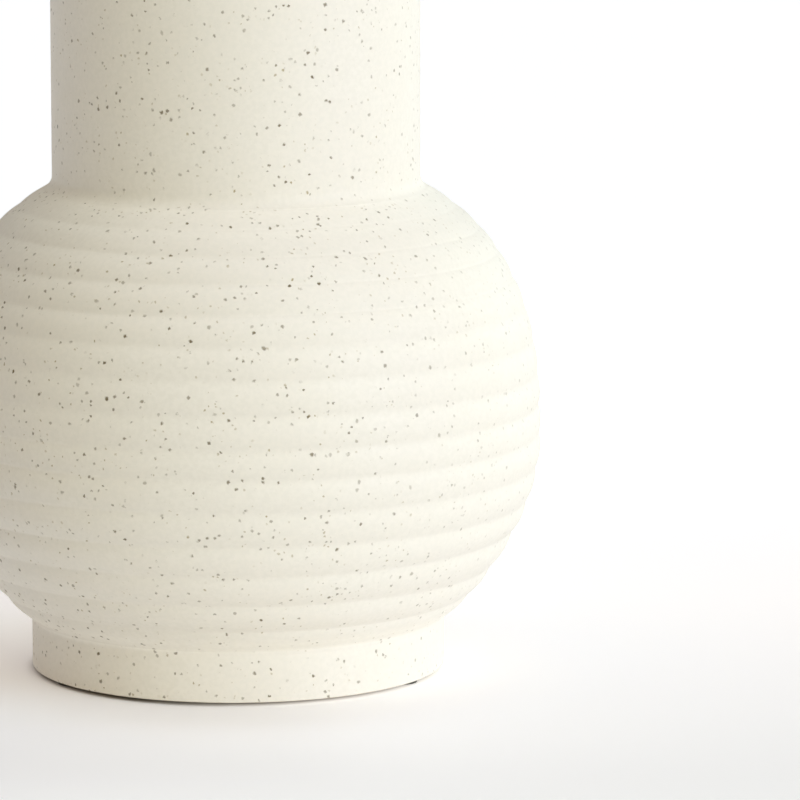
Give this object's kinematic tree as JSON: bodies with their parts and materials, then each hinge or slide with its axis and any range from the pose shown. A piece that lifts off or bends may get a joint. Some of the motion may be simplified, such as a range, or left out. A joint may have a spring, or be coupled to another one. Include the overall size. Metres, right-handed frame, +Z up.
{
  "type": "ribbed stoneware vase",
  "caption": "Squat ribbed globe vase of matt speckled stoneware, with a wide straight neck and a plain turned foot on small anti-slip pads.",
  "frame": {"origin": "on the surface that the vase stands on, under the pot's axis", "axes": "+Z up along the pot's axis, -Y towards the viewer, +X to the viewer's right"},
  "size_m": [0.2068, 0.2068, 0.27],
  "materials": {
    "body_glaze": "matt cream glaze with fine brown iron speckles",
    "foot_glaze": "matt cream glaze, wiped off the contact face",
    "bare_stoneware": "unglazed speckled stoneware",
    "pad_rubber": "matt, dark"
  },
  "bodies": {
    "root": {"foot_band": "foot_glaze", "base_slab": "bare_stoneware", "lower_bowl": "body_glaze", "upper_bowl": "body_glaze", "neck": "body_glaze", "pad_front_right": "pad_rubber", "pad_back": "pad_rubber", "pad_front_left": "pad_rubber"}
  },
  "joints": []
}
